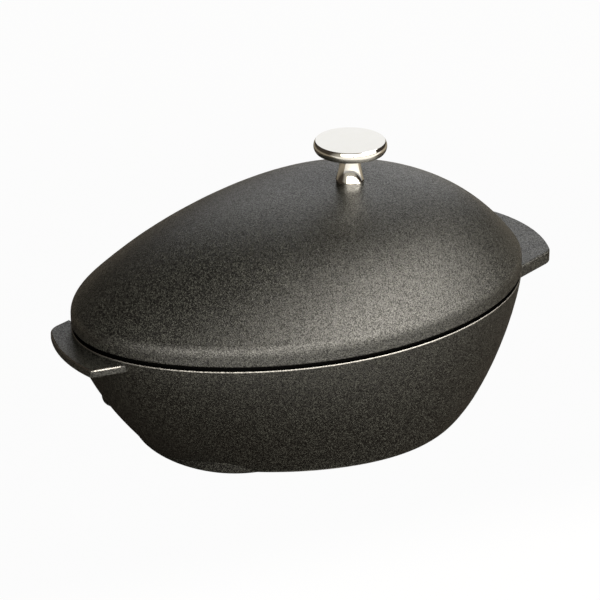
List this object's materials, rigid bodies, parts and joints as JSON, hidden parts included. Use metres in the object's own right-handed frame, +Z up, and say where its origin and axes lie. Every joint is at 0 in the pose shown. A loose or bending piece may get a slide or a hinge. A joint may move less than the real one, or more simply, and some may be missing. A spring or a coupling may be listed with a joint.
{
  "type": "mussel pot",
  "caption": "Oval mussel-shaped cast iron pot with a domed lid and turned metal knob, side ears, and a lift-out pierced strainer inside.",
  "frame": {"origin": "on the plane that the pot stands on, under the middle of the mouth", "axes": "+X from the narrow ear to the broad ear, +Y to the back, +Z up"},
  "size_m": [0.286, 0.1847, 0.1433],
  "materials": {
    "enamelled_iron": "matt fine-grained enamel, charcoal black",
    "polished_metal": "polished nickel",
    "plain_steel": "satin stainless"
  },
  "bodies": {
    "pot": {"pot": "enamelled_iron"},
    "lid": {"lid": "enamelled_iron", "knob_base_ring": "polished_metal", "knob": "polished_metal", "flat_washer": "plain_steel", "lock_washer": "plain_steel", "knob_screw": "plain_steel"},
    "strainer": {"strainer": "plain_steel"}
  },
  "joints": [
    {"name": "lid_lift", "type": "slide", "parent": "pot", "child": "lid", "axis": [0, 0, 1], "range_m": [0, 0.15]},
    {"name": "strainer_lift", "type": "slide", "parent": "pot", "child": "strainer", "axis": [0, 0, 1], "range_m": [0, 0.075]}
  ],
  "couplings": [
    {"joint": "strainer_lift", "follows": "lid_lift", "ratio": 0.5}
  ]
}
